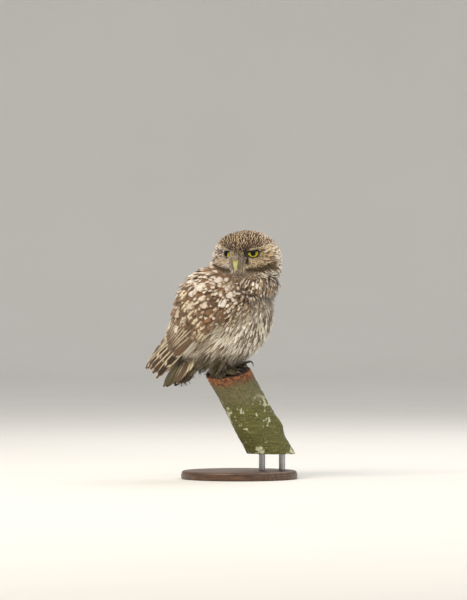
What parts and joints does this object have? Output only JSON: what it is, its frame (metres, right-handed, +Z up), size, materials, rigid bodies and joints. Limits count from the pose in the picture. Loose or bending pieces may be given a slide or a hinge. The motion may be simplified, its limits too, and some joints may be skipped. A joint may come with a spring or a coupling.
{
  "type": "little owl model",
  "caption": "Life-size little owl perched on the sawn end of a leaning branch, looking over its right shoulder, held by a plain round base with short rods.",
  "frame": {"origin": "centre of the underside of the stand's round base", "axes": "+X the way the bird's body faces, +Y to its left, +Z up; the head is turned to look along -Y"},
  "size_m": [0.1684, 0.128, 0.2739],
  "materials": {
    "plumage_pale": "soft streaked feathers over down",
    "plumage_brown": "soft brown feathers with pale spots",
    "bill": "smooth horn, greenish yellow",
    "eye": "glossy, yellow round a black pupil",
    "claw": "smooth dark horn",
    "foot": "bristly feathered skin",
    "bark": "rough bark with algae and lichen, sawn end bare",
    "base_wood": "satin dark wood",
    "steel": "plain round bar"
  },
  "bodies": {
    "root": {"torso": "plumage_pale", "neck": "plumage_brown", "head": "plumage_brown", "bill_upper": "bill", "bill_lower": "bill", "tail": "plumage_brown", "eye_left": "eye", "eye_right": "eye", "wing_left": "plumage_brown", "wing_right": "plumage_brown", "foot_left": "foot", "foot_right": "foot", "claw_left_inner": "claw", "claw_left_middle": "claw", "claw_left_outer": "claw", "claw_left_hind": "claw", "claw_right_inner": "claw", "claw_right_middle": "claw", "claw_right_outer": "claw", "claw_right_hind": "claw", "perch": "bark", "stand_base": "base_wood", "stand_rod_1": "steel", "stand_rod_2": "steel"}
  },
  "joints": []
}
